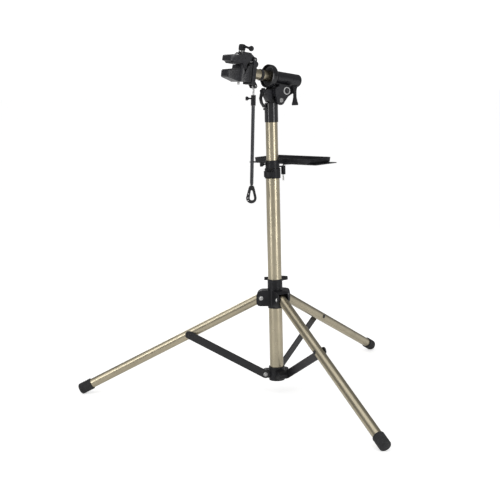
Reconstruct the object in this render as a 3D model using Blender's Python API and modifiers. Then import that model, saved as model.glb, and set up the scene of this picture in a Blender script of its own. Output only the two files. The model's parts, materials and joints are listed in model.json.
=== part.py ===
"""Folding bike repair stand: tripod, telescopic mast, tool tray and clamp head.

All dimensions below are millimetres and degrees; meshes are written in metres.
+Z is up and the floor is z = 0. The origin is the middle of the footprint on the floor.
"""

import math

import bmesh
import bpy
from mathutils import Matrix, Vector

MM = 0.001
GAP = 0.3
SMALL_SIDES = 8

# Mast
MAST_X = 146.0
LOWER_RADIUS = 20.0
LOWER_BORE = 18.2
LOWER_BOTTOM = 43.0
LOWER_TOP = 668.0
UPPER_RADIUS = 17.5
UPPER_BORE = 15.9
UPPER_BOTTOM = 190.0
UPPER_TOP = 855.0
COLLAR_BORE = LOWER_RADIUS + 0.35
UPPER_COLLAR_BORE = UPPER_RADIUS + 0.4

# Tripod linkage, as (radius from the mast axis, height)
LEG_HEADINGS = {"left": 180.0, "front": 300.0, "rear": 60.0}
HUB_PIVOT = (41.0, 292.0)
BASE_PIVOT = (33.0, 61.0)
LEG_ANGLE = 63.3
LEG_RADIUS = 14.0
LEG_WALL = 1.5
LEG_TOP = -12.0
LEG_END = 613.0
STRUT_ON_LEG = 243.0
FOOT_RADIUS = 17.0
FOOT_START = 582.0
FOOT_END = 624.0
HUB_BOTTOM = 261.0
HUB_TOP = 347.0
HUB_RADIUS = 22.0
LUG_INNER = 14.4
LUG_OUTER = 17.4
BASE_BOTTOM = 41.0
BASE_TOP = 82.0
BASE_RADIUS = 23.5
STRUT_INNER = 14.5
STRUT_OUTER = 18.5
STRUT_HALF_DEPTH = 12.0
RIVET_RADIUS = 3.0
RIVET_BORE = 3.5
RIVET_HEAD = 5.0

# Height clamp and tool tray
CLAMP_BOTTOM = 645.0
CLAMP_TOP = 674.0
CLAMP_RADIUS = 23.0
CLAMP_EAR_HEADING = 265.0
TRAY_COLLAR_TOP = 697.0
TRAY_COLLAR_RADIUS = 20.5
TRAY_HEADING = 53.0
THUMBSCREW_HEADING = 190.0
SOCKET_REACH = 49.0
TRAY_NEAR = 37.0
TRAY_DEPTH = 110.0
TRAY_WIDTH = 211.0
TRAY_FLOOR = 685.0
TRAY_HEIGHT = 14.0
TRAY_WALL = 2.5
TRAY_CORNER = 12.0
TOOL_EDGE = 22.0
PLATE_THICKNESS = 2.0
TOOL_HOLE = 6.5
TOOL_REACHES = (62.0, 92.0, 122.0)

# Head
HEAD_HEADING = 219.0
HEAD_TILT = 9.0
HEAD_HEIGHT = 936.5
SLEEVE_RADIUS = 19.5
SLEEVE_BOTTOM = 807.0
SLEEVE_TOP = 862.0
FOLD_PIVOT = (-17.0, 869.0)
HOUSING_RADIUS = 18.5
HOUSING_BORE = 16.8
ARM_RADIUS = 15.0
ARM_BORE = 13.4
PLATE_INNER = 20.0
PLATE_OUTER = 25.0
BELL_RADIUS = 33.5
LATCH_PIVOT = (27.0, 897.0)
LOCK_X = -60.0
LOCK_Z = 905.0
LOCK_LEVER_Y = 32.0

# Clamp, as (distance s along the arm tube, height h square to it)
SCREW_S = 108.0
SCREW_RADIUS = 3.5
JAW_PIVOT = (72.0, 38.0)
JAW_TIP = 160.0
JAW_HALF_WIDTH = 20.0
BODY_HALF_WIDTH = 25.0
CRANK_REACH = 38.0
CRANK_HEADING = 98.0
KNOB_N = 10.0
KNOB_H = 25.5

# Handlebar rod
ROD_PIVOT = (60.0, 911.0)
ROD_LEAN = 3.1
ROD_RADIUS = 3.0
ROD_BOTTOM = 665.0
ROD_COLLAR_TOP = 886.0
ROD_COLLAR_BOTTOM = 856.0
ROD_TUBE_RADIUS = 5.0
ROD_TUBE_BORE = 3.8
ROD_TUBE_BOTTOM = 634.0
ROD_KNOB_Z = 876.0
VIEW_HEADING = 144.0

# Finishes: colour, roughness, metallic
GOLD = ((0.62, 0.53, 0.36), 0.32, 1.0)
BLACK = ((0.03, 0.03, 0.034), 0.42, 0.0)
CAST = ((0.06, 0.06, 0.066), 0.5, 0.0)
RUBBER = ((0.016, 0.016, 0.017), 0.8, 0.0)
STEEL = ((0.62, 0.62, 0.62), 0.25, 1.0)
DARK_STEEL = ((0.09, 0.09, 0.1), 0.4, 0.6)


def clear_scene():
    for item in list(bpy.data.objects):
        bpy.data.objects.remove(item, do_unlink=True)


def new_collection(name):
    collection = bpy.data.collections.new(name)
    bpy.context.scene.collection.children.link(collection)
    return collection


clear_scene()
PARTS = new_collection("bike_repair_stand")
CUTTERS = new_collection("construction")


# ---------------------------------------------------------------- helpers

def empty(name, parent=None, location=(0, 0, 0), rotation=(0, 0, 0)):
    """A local frame: location in millimetres, rotation in degrees."""
    frame = bpy.data.objects.new(name, None)
    frame.location = Vector(location) * MM
    frame.rotation_euler = [math.radians(angle) for angle in rotation]
    frame.empty_display_size = 0.03
    frame.parent = parent
    PARTS.objects.link(frame)
    return frame


def add_object(name, bm, parent, origin=(0, 0, 0)):
    """Writes a bmesh drawn in millimetres as an object whose origin is at the given point."""
    bmesh.ops.translate(bm, verts=bm.verts, vec=-Vector(origin))
    bmesh.ops.scale(bm, verts=bm.verts, vec=(MM, MM, MM))
    bmesh.ops.recalc_face_normals(bm, faces=bm.faces)
    mesh = bpy.data.meshes.new(name)
    bm.to_mesh(mesh)
    bm.free()
    item = bpy.data.objects.new(name, mesh)
    item.location = Vector(origin) * MM
    item.parent = parent
    PARTS.objects.link(item)
    return item


def new_material(name, look):
    colour, roughness, metallic = look
    material = bpy.data.materials.new(name)
    material.use_nodes = True
    shader = material.node_tree.nodes["Principled BSDF"]
    shader.inputs["Base Color"].default_value = (*colour, 1.0)
    shader.inputs["Roughness"].default_value = roughness
    shader.inputs["Metallic"].default_value = metallic
    return material


def finish(item, look):
    """Gives a part its own material and smooth shading with crisp edges."""
    item.data.materials.append(new_material(item.name + "_finish", look))
    item.data.shade_smooth()
    item.data.set_sharp_from_angle(angle=math.radians(35))
    return item


def make_construction(item):
    item.hide_render = True
    item.display_type = "WIRE"
    PARTS.objects.unlink(item)
    CUTTERS.objects.link(item)


# The exact solver leaves these many-lugged collars open, and the manifold one closes them.
SOLVERS = {"hub": "MANIFOLD", "height_clamp": "MANIFOLD"}


def combine(target, operation, others):
    for other in others:
        modifier = target.modifiers.new(other.name, "BOOLEAN")
        modifier.operation = operation
        modifier.solver = SOLVERS.get(target.name, "EXACT")
        modifier.object = other
        make_construction(other)


def join(target, *others):
    combine(target, "UNION", others)


def cut(target, *others):
    combine(target, "DIFFERENCE", others)


def turned(name, profile, parent, base=(0, 0, 0), axis=(0, 0, 1), steps=24, ring=False):
    """A turned solid: profile of (radius, distance along the axis), outer side from far to near.

    A ring's profile closes on itself; any other starts and ends on the axis.
    """
    mesh = bpy.data.meshes.new(name)
    points = [(radius * MM, 0.0, along * MM) for radius, along in profile]
    edges = [(i, i + 1) for i in range(len(points) - 1)]
    if ring:
        edges.append((len(points) - 1, 0))
    mesh.from_pydata(points, edges, [])
    item = bpy.data.objects.new(name, mesh)
    item.location = Vector(base) * MM
    item.rotation_euler = Vector(axis).to_track_quat("Z", "Y").to_euler()
    item.parent = parent
    PARTS.objects.link(item)
    screw = item.modifiers.new("turn", "SCREW")
    screw.axis = "Z"
    screw.angle = math.tau
    screw.steps = steps
    screw.render_steps = steps
    screw.use_merge_vertices = True
    screw.merge_threshold = 0.00001
    return item


def pipe(name, outer, inner, low, high, parent, base=(0, 0, 0), axis=(0, 0, 1), steps=24):
    profile = [(outer, high), (outer, low), (inner, low), (inner, high)]
    return turned(name, profile, parent, base, axis, steps, ring=True)


def rod(name, start, end, radius, parent, steps=16, origin=None):
    """A plain cylinder between two points."""
    start, end = Vector(start), Vector(end)
    direction = end - start
    place = Matrix.Translation((start + end) / 2) @ direction.to_track_quat("Z", "Y").to_matrix().to_4x4()
    bm = bmesh.new()
    bmesh.ops.create_cone(bm, cap_ends=True, segments=steps, radius1=radius, radius2=radius,
                          depth=direction.length, matrix=place)
    return add_object(name, bm, parent, origin or start)


def block(name, low, high, parent, origin=(0, 0, 0), bevel=0.0):
    """A box between two corners, with its edges broken by an optional bevel."""
    low, high = Vector(low), Vector(high)
    bm = bmesh.new()
    bmesh.ops.create_cube(bm, size=1.0)
    bmesh.ops.scale(bm, verts=bm.verts, vec=high - low)
    bmesh.ops.translate(bm, verts=bm.verts, vec=(high + low) / 2)
    item = add_object(name, bm, parent, origin)
    if bevel:
        add_bevel(item, bevel)
    return item


PLANES = {
    "XZ": Matrix(((1, 0, 0), (0, 0, 1), (0, 1, 0))),
    "XY": Matrix(((1, 0, 0), (0, 1, 0), (0, 0, 1))),
}


def prism(name, outline, low, high, parent, plane="XZ", origin=(0, 0, 0), bevel=0.0):
    """An outline in a plane, extruded from low to high along the plane's normal."""
    place = PLANES[plane]
    bm = bmesh.new()
    face = bm.faces.new([bm.verts.new(place @ Vector((u, v, low))) for u, v in outline])
    pushed = bmesh.ops.extrude_face_region(bm, geom=[face])
    moved = [part for part in pushed["geom"] if isinstance(part, bmesh.types.BMVert)]
    bmesh.ops.translate(bm, verts=moved, vec=place @ Vector((0, 0, high - low)))
    item = add_object(name, bm, parent, origin)
    if bevel:
        add_bevel(item, bevel)
    return item


def add_bevel(item, width):
    bevel = item.modifiers.new("edge", "BEVEL")
    bevel.width = width * MM
    bevel.segments = 1
    bevel.limit_method = "ANGLE"
    bevel.angle_limit = math.radians(50)


def arc(centre, radius, start, end, steps=8):
    """Points along an arc, angles in degrees."""
    points = []
    for i in range(steps + 1):
        angle = math.radians(start + (end - start) * i / steps)
        points.append((centre[0] + radius * math.cos(angle), centre[1] + radius * math.sin(angle)))
    return points


def ribbon(centre_line, widths):
    """The outline of a strip of varying width along a centre line."""
    left, right = [], []
    count = len(centre_line)
    for i, (point, width) in enumerate(zip(centre_line, widths)):
        before = Vector(centre_line[max(i - 1, 0)])
        after = Vector(centre_line[min(i + 1, count - 1)])
        along = (after - before).normalized()
        side = Vector((-along.y, along.x)) * width / 2
        left.append(tuple(Vector(point) + side))
        right.append(tuple(Vector(point) - side))
    return left + right[::-1]


def clamp_point(x, z):
    """A point of the head's middle plane, given along and above the head, in the clamp's tilted frame."""
    tilt = math.radians(HEAD_TILT)
    rise = z - HEAD_HEIGHT
    return x * math.cos(tilt) + rise * math.sin(tilt), 0, rise * math.cos(tilt) - x * math.sin(tilt)


# ---------------------------------------------------------------- frames

stand_axis = empty("stand_axis", None, (MAST_X, 0, 0))
head_axes = empty("head_axes", stand_axis, (0, 0, 0), (0, 0, HEAD_HEADING))
fold_axes = empty("fold_axes", head_axes, (FOLD_PIVOT[0], 0, FOLD_PIVOT[1]))
clamp_axes = empty("clamp_axes", fold_axes, (-FOLD_PIVOT[0], 0, HEAD_HEIGHT - FOLD_PIVOT[1]),
                   (0, -HEAD_TILT, 0))


# ---------------------------------------------------------------- mast

def make_mast():
    lower = pipe("lower_mast_tube", LOWER_RADIUS, LOWER_BORE, LOWER_BOTTOM, LOWER_TOP, stand_axis, steps=32)
    upper = pipe("upper_mast_tube", UPPER_RADIUS, UPPER_BORE, UPPER_BOTTOM, UPPER_TOP, stand_axis, steps=32)
    bush = pipe("glide_bush", LOWER_BORE - 0.2, 9.0, UPPER_BOTTOM - 18, UPPER_BOTTOM - GAP, stand_axis)
    finish(lower, GOLD)
    finish(upper, GOLD)
    finish(bush, BLACK)


# ---------------------------------------------------------------- tripod

def strut_joint():
    """The leg's strut pivot at rest, as (radius, height), and the strut's length."""
    lean = math.radians(LEG_ANGLE)
    joint = Vector(HUB_PIVOT) + STRUT_ON_LEG * Vector((math.sin(lean), -math.cos(lean)))
    return joint, (joint - Vector(BASE_PIVOT)).length


def leg_frame(side):
    """Frame at the hub pivot with +X along the leg towards the foot and +Y sideways."""
    heading = LEG_HEADINGS[side]
    plane = empty("leg_plane_" + side, stand_axis, (0, 0, 0), (0, 0, heading))
    pivot = (HUB_PIVOT[0], 0, HUB_PIVOT[1])
    return plane, empty("leg_pivot_" + side, plane, pivot, (0, 90 - LEG_ANGLE, 0))


def make_leg(side):
    plane, frame = leg_frame(side)
    inner_radius = LEG_RADIUS - LEG_WALL
    tube = pipe("leg_tube_" + side, LEG_RADIUS, inner_radius, LEG_TOP, LEG_END, frame, axis=(1, 0, 0), steps=20)
    for along in (0, STRUT_ON_LEG):
        name = "leg_bore_%s_%d" % (side, along)
        cut(tube, rod(name, (along, -20, 0), (along, 20, 0), RIVET_BORE, frame, SMALL_SIDES))
    finish(tube, GOLD)
    make_foot(side, frame)
    make_leg_rivet(side, frame)
    make_strut_rivet(side, frame)
    make_strut(side, plane)


def make_foot(side, frame):
    outer = [(0, FOOT_END)] + [(FOOT_RADIUS - 4 + 4 * math.sin(a), FOOT_END - 4 + 4 * math.cos(a))
                               for a in (0.0, 0.8, math.pi / 2)]
    inner = [(FOOT_RADIUS, FOOT_START + 2), (FOOT_RADIUS - 1.2, FOOT_START), (LEG_RADIUS + GAP, FOOT_START),
             (LEG_RADIUS + GAP, LEG_END + GAP), (0, LEG_END + GAP)]
    foot = turned("foot_" + side, outer + inner, frame, axis=(1, 0, 0))
    floor = block("floor_" + side, (-900, -900, -60), (900, 900, 0), None)
    cut(foot, floor)
    finish(foot, RUBBER)


def make_strut_rivet(side, frame):
    """Through the leg and the strut that lies against its side."""
    near, far = -LEG_RADIUS - 2.3, STRUT_OUTER + 2.3
    ends = (STRUT_ON_LEG, near + 0.5, 0), (STRUT_ON_LEG, far - 0.5, 0)
    shank = rod("strut_rivet_" + side, *ends, RIVET_RADIUS, frame, SMALL_SIDES)
    for low, high in ((near, near + 2.0), (far - 2.0, far)):
        head = rod("strut_rivet_head_%s_%d" % (side, low), (STRUT_ON_LEG, low, 0), (STRUT_ON_LEG, high, 0),
                   RIVET_HEAD, frame, SMALL_SIDES)
        join(shank, head)
    finish(shank, BLACK)


def make_strut(side, plane):
    """A flat bar along one side of the leg and of the lug, with a formed head at the lug."""
    joint, length = strut_joint()
    tilt = math.degrees(math.atan2(joint.y - BASE_PIVOT[1], joint.x - BASE_PIVOT[0]))
    frame = empty("strut_pivot_" + side, plane, (joint.x, 0, joint.y), (0, 180 - tilt, 0))
    outline = arc((0, 0), STRUT_HALF_DEPTH, 90, 270) + arc((length, 0), STRUT_HALF_DEPTH, -90, 90)
    strut = prism("strut_" + side, outline, STRUT_INNER, STRUT_OUTER, frame)
    cut(strut, rod("strut_bore_" + side, (0, 10, 0), (0, 24, 0), RIVET_BORE, frame, SMALL_SIDES))
    start, end = (length, STRUT_OUTER - 0.8, 0), (length, STRUT_OUTER + 2.0, 0)
    join(strut, rod("strut_head_" + side, start, end, RIVET_HEAD, frame, SMALL_SIDES))
    finish(strut, BLACK)


def make_hub():
    """Sliding collar with a domed, two-cheeked lug for each leg and a split clamp at its top."""
    hub = turned("hub", [(0, HUB_TOP), (HUB_RADIUS, HUB_TOP), (HUB_RADIUS, HUB_BOTTOM), (0, HUB_BOTTOM)],
                 stand_axis, steps=32)
    pivot_r, pivot_z = HUB_PIVOT
    outline = [(15, 268)] + arc((44, 279), 11, -90, 0, 4) + arc((37, 297), 18, 0, 90, 6) + [(15, 315)]
    # The pocket opens below and outwards, and its round end follows the leg's top as it swings.
    pocket = arc((pivot_r, pivot_z), 18.8, 180, 80, 8) + [(80, 300), (80, 240), (22.2, 240)]
    bores = []
    for side, heading in LEG_HEADINGS.items():
        turn = empty("hub_lug_axes_" + side, stand_axis, (0, 0, 0), (0, 0, heading))
        join(hub, prism("hub_lug_" + side, outline, -LUG_OUTER, LUG_OUTER, turn))
        bores.append(prism("hub_pocket_" + side, pocket, -LUG_INNER, LUG_INNER, turn))
        bores.append(rod("hub_rivet_bore_" + side, (pivot_r, -25, pivot_z), (pivot_r, 25, pivot_z), RIVET_BORE,
                         turn, SMALL_SIDES))
    join(hub, block("hub_clamp_ears", (-9, 16, 332), (9, 34, 352), stand_axis))
    cut(hub, *bores)
    cut(hub, block("hub_split", (-1, 10, 319), (1, 60, 380), stand_axis))
    cut(hub, rod("hub_bore", (0, 0, 200), (0, 0, 400), COLLAR_BORE, stand_axis, 32))
    cut(hub, rod("hub_bolt_bore", (-20, 28, 343), (20, 28, 343), RIVET_BORE, stand_axis, SMALL_SIDES))
    finish(hub, BLACK)


def make_leg_rivet(side, frame):
    rivet = rod("leg_rivet_" + side, (0, -18, 0), (0, 18, 0), RIVET_RADIUS, frame, SMALL_SIDES)
    for sign in (-1, 1):
        start = (0, sign * (LUG_OUTER + GAP), 0)
        end = (0, sign * (LUG_OUTER + 2.3), 0)
        join(rivet, rod("leg_rivet_head_%s_%d" % (side, sign), start, end, RIVET_HEAD, frame, SMALL_SIDES))
    finish(rivet, STEEL)


def make_hub_clamp():
    """Cross bolt and quick-release lever behind the mast at the top of the hub."""
    bolt = rod("hub_clamp_bolt", (-32, 28, 343), (11.5, 28, 343), RIVET_RADIUS, stand_axis, SMALL_SIDES)
    join(bolt, rod("hub_bolt_head", (-33, 28, 343), (-9.4, 28, 343), 5.3, stand_axis, 16))
    finish(bolt, BLACK)
    line = [(22, 28), (30, 29), (33.5, 33), (31, 39), (20, 43), (5, 45), (-12, 44)]
    blade = ribbon(line, [9, 9, 7, 6, 5, 5, 5])
    lever = rod("hub_lever", (19, 28, 337), (19, 28, 349), 7.0, stand_axis, 16, origin=(19, 28, 343))
    join(lever, prism("hub_lever_blade", blade, 338, 348, stand_axis, plane="XY"))
    finish(lever, BLACK)


def make_base():
    profile = [(0, BASE_TOP), (BASE_RADIUS, BASE_TOP), (BASE_RADIUS, BASE_BOTTOM), (0, BASE_BOTTOM)]
    base = turned("base_collar", profile, stand_axis, steps=32)
    outline = [(15, 49)] + arc(BASE_PIVOT, 12, -90, 90, 8) + [(15, 73)]
    for side, heading in LEG_HEADINGS.items():
        turn = empty("base_lug_axes_" + side, stand_axis, (0, 0, 0), (0, 0, heading))
        join(base, prism("base_lug_" + side, outline, -LUG_INNER + GAP, LUG_INNER - GAP, turn))
    cut(base, rod("base_bore", (0, 0, 20), (0, 0, 100), COLLAR_BORE, stand_axis, 32))
    finish(base, BLACK)


# ---------------------------------------------------------------- height clamp and tray

def make_height_clamp():
    ears = empty("height_clamp_axes", stand_axis, (0, 0, 0), (0, 0, CLAMP_EAR_HEADING))
    outer = [(0, CLAMP_TOP), (CLAMP_RADIUS - 1, CLAMP_TOP), (CLAMP_RADIUS, CLAMP_TOP - 1),
             (CLAMP_RADIUS, CLAMP_BOTTOM), (0, CLAMP_BOTTOM)]
    clamp = turned("height_clamp", outer, stand_axis, steps=32)
    join(clamp, block("height_clamp_ears", (16, -6, 648), (34, 6, 671), ears))
    cut(clamp, block("height_split", (10, -1, 630), (60, 1, 700), ears))
    cut(clamp, rod("height_bore", (0, 0, 600), (0, 0, LOWER_TOP + GAP), COLLAR_BORE, stand_axis, 32))
    cut(clamp, rod("height_lip_bore", (0, 0, 660), (0, 0, 700), UPPER_COLLAR_BORE, stand_axis, 32))
    cut(clamp, rod("height_bolt_bore", (28, -20, 659.5), (28, 20, 659.5), RIVET_BORE, ears, SMALL_SIDES))
    finish(clamp, BLACK)
    bolt = rod("height_clamp_bolt", (28, -7, 659.5), (28, 10.5, 659.5), RIVET_RADIUS, ears, SMALL_SIDES)
    join(bolt, rod("height_bolt_head", (28, 6.3, 659.5), (28, 11.5, 659.5), 5.5, ears, 16))
    finish(bolt, STEEL)
    line = [(28, -14.5), (34, -14), (38, -9.5), (40, -2), (39.5, 7), (37, 14)]
    blade = ribbon(line, [9, 8, 6, 5, 5, 4.5])
    lever = rod("height_lever", (28, -14.5, 651), (28, -14.5, 668), 7.0, ears, 16, origin=(28, -14.5, 659.5))
    join(lever, prism("height_lever_blade", blade, 653, 666, ears, plane="XY"))
    finish(lever, BLACK)


def make_tray_collar():
    profile = [(0, TRAY_COLLAR_TOP), (TRAY_COLLAR_RADIUS, TRAY_COLLAR_TOP),
               (TRAY_COLLAR_RADIUS, CLAMP_TOP + GAP), (0, CLAMP_TOP + GAP)]
    collar = turned("tray_collar", profile, stand_axis, steps=32)
    arm = empty("tray_arm_axes", stand_axis, (0, 0, 0), (0, 0, TRAY_HEADING))
    screw = empty("tray_screw_axes", stand_axis, (0, 0, 0), (0, 0, THUMBSCREW_HEADING))
    join(collar, block("tray_arm", (15, -5, 674.5), (46, 5, 677.5), arm))
    join(collar, rod("tray_socket", (SOCKET_REACH, 0, 652), (SOCKET_REACH, 0, 677), 6.5, arm, 16))
    cut(collar, rod("tray_socket_bore", (SOCKET_REACH, 0, 640), (SOCKET_REACH, 0, 700), 2.9, arm, SMALL_SIDES))
    cut(collar, rod("tray_collar_bore", (0, 0, 640), (0, 0, 720), UPPER_COLLAR_BORE, stand_axis, 32))
    cut(collar, rod("tray_screw_bore", (12, 0, 686), (40, 0, 686), 2.8, screw, SMALL_SIDES))
    finish(collar, BLACK)
    knob = rod("tray_thumbscrew", (18.6, 0, 686), (24, 0, 686), 2.5, screw, 12, origin=(24, 0, 686))
    join(knob, turned("tray_knob", [(0, 36), (5, 36), (6, 35), (6, 29), (3.4, 27), (3.4, 22.5), (0, 22.5)],
                      screw, (0, 0, 686), (1, 0, 0), 16))
    finish(knob, BLACK)


def rounded_rectangle(low, high, radius, steps=4):
    (x0, y0), (x1, y1) = low, high
    corners = (((x1 - radius, y0 + radius), -90), ((x1 - radius, y1 - radius), 0),
               ((x0 + radius, y1 - radius), 90), ((x0 + radius, y0 + radius), 180))
    points = []
    for centre, start in corners:
        points += arc(centre, radius, start, start + 90, steps)
    return points


def make_tray():
    """Open tray on a bent steel pin that drops into the collar's socket."""
    frame = empty("tray_axes", stand_axis, (0, 0, 0), (0, 0, TRAY_HEADING))
    half = TRAY_WIDTH / 2
    far = TRAY_NEAR + TRAY_DEPTH
    wall = TRAY_WALL
    outer = rounded_rectangle((TRAY_NEAR, -half), (far, half), TRAY_CORNER)
    inner = rounded_rectangle((TRAY_NEAR + wall, -half + wall), (far - wall, half - wall), TRAY_CORNER - wall)
    pan = prism("tray_pan", outer, TRAY_FLOOR, TRAY_FLOOR + TRAY_HEIGHT, frame, plane="XY")
    cut(pan, prism("tray_hollow", inner, TRAY_FLOOR + wall, TRAY_FLOOR + 60, frame, plane="XY"))
    finish(pan, BLACK)
    make_tool_plate(frame)
    make_tray_pin(frame)


def make_tool_plate(frame):
    """A plate under the tray whose holed ends stand out beyond it."""
    half = TRAY_WIDTH / 2
    top = TRAY_FLOOR - GAP
    reach = half + TOOL_EDGE
    outline = rounded_rectangle((TRAY_NEAR + 4, -reach), (TRAY_NEAR + TRAY_DEPTH - 4, reach), 5, 3)
    plate = prism("tool_plate", outline, top - PLATE_THICKNESS, top, frame, plane="XY")
    for i, out in enumerate(TOOL_REACHES):
        for sign in (-1, 1):
            centre = sign * (half + TOOL_EDGE / 2)
            cut(plate, rod("tool_hole_%d_%d" % (i, sign), (out, centre, top - 8), (out, centre, top + 8),
                           TOOL_HOLE, frame, 16))
    finish(plate, DARK_STEEL)


def make_tray_pin(frame):
    """Bent wire: down through the socket, and out flat under the pan."""
    height = TRAY_FLOOR - 5.0
    bend = 3.4
    points = [(SOCKET_REACH, 0, 634), (SOCKET_REACH, 0, height - bend)]
    for angle in (0.5, 1.05):
        points.append((SOCKET_REACH + bend - bend * math.cos(angle), 0, height - bend + bend * math.sin(angle)))
    points += [(SOCKET_REACH + bend, 0, height), (112, 0, height)]
    curve = bpy.data.curves.new("tray_pin", "CURVE")
    curve.dimensions = "3D"
    curve.bevel_depth = 2.5 * MM
    curve.bevel_resolution = 2
    curve.use_fill_caps = True
    curve.render_resolution_u = 0
    spline = curve.splines.new("POLY")
    spline.points.add(len(points) - 1)
    for point, place in zip(spline.points, points):
        point.co = (*(Vector(place) * MM), 1.0)
    pin = bpy.data.objects.new("tray_pin", curve)
    pin.parent = frame
    PARTS.objects.link(pin)
    curve.materials.append(new_material("tray_pin_finish", STEEL))


# ---------------------------------------------------------------- head

def make_fork():
    """Sleeve on top of the mast, with the fold lug behind and the latch catch in front."""
    profile = [(0, SLEEVE_TOP), (SLEEVE_RADIUS - 1, SLEEVE_TOP), (SLEEVE_RADIUS, SLEEVE_TOP - 1),
               (SLEEVE_RADIUS, SLEEVE_BOTTOM), (UPPER_RADIUS + GAP, SLEEVE_BOTTOM),
               (UPPER_RADIUS + GAP, UPPER_TOP + GAP), (0, UPPER_TOP + GAP)]
    sleeve = turned("fork_sleeve", profile, head_axes, steps=32)
    x, z = FOLD_PIVOT
    lug = [(x + 11, 858), (x + 11, z)] + arc(FOLD_PIVOT, 11, 20, 160, 6)
    lug += [(x - 11, z), (x - 5, 860), (x - 1, 858)]
    join(sleeve, prism("fold_lug", lug, -19, 19, head_axes))
    join(sleeve, block("latch_catch", (18, -6, 842), (24, 6, 848), head_axes))
    cut(sleeve, rod("fold_lug_bore", (x, -30, z), (x, 30, z), 4.3, head_axes, 16))
    finish(sleeve, BLACK)
    pin = rod("fold_pin", (x, -26, z), (x, 26, z), 4.0, head_axes, 16)
    for sign in (-1, 1):
        join(pin, rod("fold_pin_head_%d" % sign, (x, sign * (PLATE_OUTER + GAP), z),
                      (x, sign * (PLATE_OUTER + 3), z), 6.5, head_axes, 16))
    finish(pin, STEEL)


def make_head_casting():
    """Housing tube on a saddle, two side plates down to the fold pivot, and a V tongue in front."""
    x, z = FOLD_PIVOT
    casting = rod("head_casting", (-95, 0, 0), (2, 0, 0), HOUSING_RADIUS, clamp_axes, 32, clamp_point(x, z))
    join(casting, block("head_neck", (-68, -9, -26), (-17, 9, -12), clamp_axes))
    join(casting, block("head_saddle", (-69, -PLATE_OUTER, -31), (-16, PLATE_OUTER, -19.5), clamp_axes))
    plate = arc(FOLD_PIVOT, 14, 0, -130, 8)
    plate += [(-34, 868), (-43, 878), (-55, 884.5), (-66, 888), (-70, 893), (-70, 903)]
    plate += [(-20, 912), (-2, 905), (2, 900), (1, 884)]
    for name, low, high in (("near", PLATE_INNER, PLATE_OUTER), ("far", -PLATE_OUTER, -PLATE_INNER)):
        join(casting, prism("head_plate_" + name, plate, low, high, head_axes))
    join(casting, block("head_front_wall", (-12, -22, 885), (0.5, 22, 900.5), head_axes))
    tongue = [(-3, 885), (8, 863.2), (12, 863.2), (24, 885), (24, 899), (-3, 899)]
    join(casting, prism("head_tongue", tongue, -10, 10, head_axes))
    ears = [(22, 888), (27, 888), (32, 893), (32, 899), (27, 902), (22, 899)]
    join(casting, prism("latch_ears", ears, -10, 10, head_axes))
    cut(casting, prism("latch_slot", [(22.5, 870), (40, 870), (40, 915), (22.5, 915)], -6.3, 6.3, head_axes))
    latch_x, latch_z = LATCH_PIVOT
    ends = (latch_x, -20, latch_z), (latch_x, 20, latch_z)
    cut(casting, rod("latch_bore", *ends, 1.8, head_axes, SMALL_SIDES))
    cut(casting, rod("housing_bore", (-120, 0, 0), (40, 0, 0), HOUSING_BORE, clamp_axes, 32))
    cut(casting, rod("plate_bore", (x, -40, z), (x, 40, z), 4.3, head_axes, 16))
    ends = (LOCK_X, -40, LOCK_Z), (LOCK_X, 40, LOCK_Z)
    cut(casting, rod("lock_bolt_bore", *ends, RIVET_BORE, head_axes, SMALL_SIDES))
    finish(casting, CAST)


def make_head_fittings():
    bell = [(BELL_RADIUS, 14), (BELL_RADIUS, -1), (20, -15), (HOUSING_RADIUS + GAP, -15),
            (HOUSING_RADIUS + GAP, 3), (29.5, 3), (30.5, 14)]
    finish(turned("bell_ring", bell, clamp_axes, axis=(1, 0, 0), steps=32, ring=True), BLACK)
    bush = pipe("head_bush", HOUSING_BORE - GAP, ARM_RADIUS + 0.25, -60, 2, clamp_axes, axis=(1, 0, 0), steps=32)
    finish(bush, BLACK)
    cap = [(0, 8), (13, 8), (17, 6), (HOUSING_RADIUS, 2.5), (HOUSING_RADIUS, 0), (0, 0)]
    finish(turned("rear_cap", cap, clamp_axes, (-95 - GAP, 0, 0), (-1, 0, 0), 32), BLACK)
    badge = [(0, 2.2), (10, 2.2), (11, 1.2), (11, 0), (0, 0)]
    finish(turned("head_badge", badge, head_axes, (-38, PLATE_OUTER + GAP, 895), (0, 1, 0), 24), STEEL)
    latch_x, latch_z = LATCH_PIVOT
    line = [(26.5, 905), (27, 897), (33, 888), (36.5, 876), (34, 864), (28, 855), (24, 850.5)]
    lever = prism("latch_lever", ribbon(line, [5, 7, 4.5, 3.6, 3.6, 3.6, 4.5]), -6, 6, head_axes,
                  origin=(latch_x, 0, latch_z))
    ends = (latch_x, -9.5, latch_z), (latch_x, 9.5, latch_z)
    join(lever, rod("latch_pin", *ends, 1.5, head_axes, SMALL_SIDES))
    finish(lever, BLACK)


def make_rotation_lock():
    """Cross bolt under the housing and the flared lever that hangs on its near end."""
    ends = (LOCK_X, -27, LOCK_Z), (LOCK_X, PLATE_OUTER, LOCK_Z)
    bolt = rod("lock_bolt", *ends, RIVET_RADIUS, head_axes, SMALL_SIDES)
    head_start, head_end = (LOCK_X, -30, LOCK_Z), (LOCK_X, -PLATE_OUTER - GAP, LOCK_Z)
    join(bolt, rod("lock_bolt_head", head_start, head_end, 6.0, head_axes, 6))
    finish(bolt, STEEL)
    pivot = Vector((LOCK_X, LOCK_LEVER_Y, LOCK_Z))
    reach = Vector((7, 0, 0))
    lever = rod("lock_lever", pivot - reach, pivot + reach, 6.3, head_axes, 16, pivot)
    outline = [(-5, 2), (-4, -18), (-4.2, -30), (-7, -41), (-10, -49), (-8.5, -52)]
    outline += [(-x, z) for x, z in reversed(outline)]
    blade = [(LOCK_X + x, LOCK_Z + z) for x, z in outline]
    join(lever, prism("lock_lever_blade", blade, LOCK_LEVER_Y - 1, LOCK_LEVER_Y + 5.5, head_axes))
    finish(lever, BLACK)


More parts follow.
